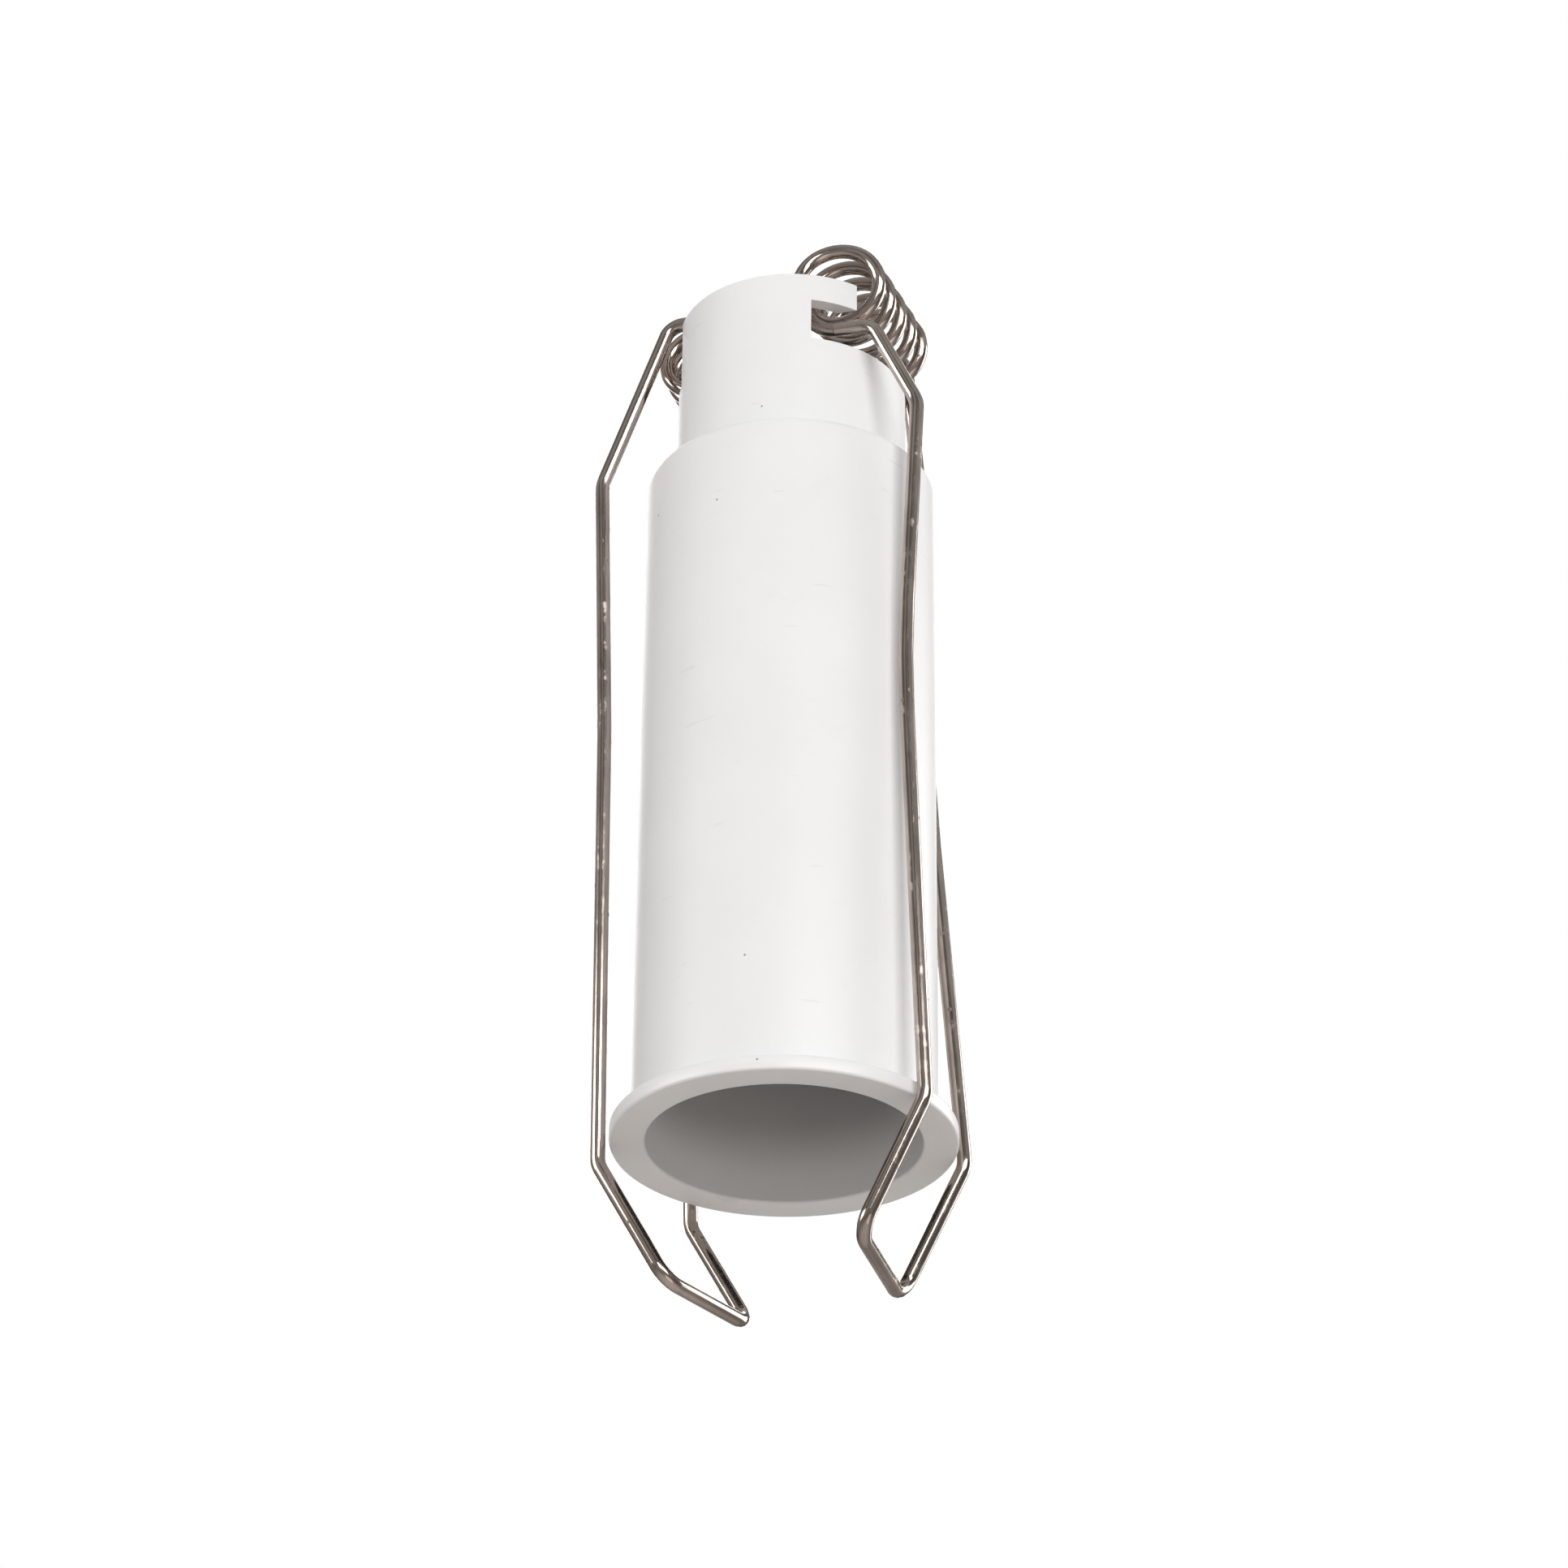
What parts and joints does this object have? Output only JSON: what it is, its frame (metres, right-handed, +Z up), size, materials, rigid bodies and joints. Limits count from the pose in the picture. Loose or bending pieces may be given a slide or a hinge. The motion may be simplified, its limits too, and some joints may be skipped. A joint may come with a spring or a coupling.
{
  "type": "recessed ceiling sleeve",
  "caption": "Flanged white tube for a round ceiling hole, with a stepped notched neck and long wire torsion-spring clips that swing up to pass the hole and press back on the ceiling.",
  "frame": {"origin": "on the tube's axis at the flange's upper face, the plane of the ceiling's lower surface", "axes": "+Z up along the tube's axis, from the flange to the neck; +X towards the clip on the right, whose coil lies along Y"},
  "size_m": [0.0366, 0.034, 0.1159],
  "materials": {
    "sleeve_white": "satin",
    "spring_steel": "bright drawn wire"
  },
  "bodies": {
    "sleeve_body": {"sleeve": "sleeve_white", "right_clip_coil": "spring_steel", "left_clip_coil": "spring_steel"},
    "right_clip": {"right_clip_loop": "spring_steel"},
    "left_clip": {"left_clip_loop": "spring_steel"}
  },
  "joints": [
    {"name": "right_clip_swing", "type": "hinge", "parent": "sleeve_body", "child": "right_clip", "pos_m": [0.007, 0, 0.09445], "axis": [0, -1, 0], "range_deg": [0, 160], "stiffness_Nm_per_rad": 0.35, "springref_deg": -20.05, "deforming": ["right_clip_coil"]},
    {"name": "left_clip_swing", "type": "hinge", "parent": "sleeve_body", "child": "left_clip", "pos_m": [-0.0088, 0, 0.0907], "axis": [0, 1, 0], "range_deg": [0, 160], "stiffness_Nm_per_rad": 0.35, "springref_deg": -20.05, "deforming": ["left_clip_coil"]}
  ]
}
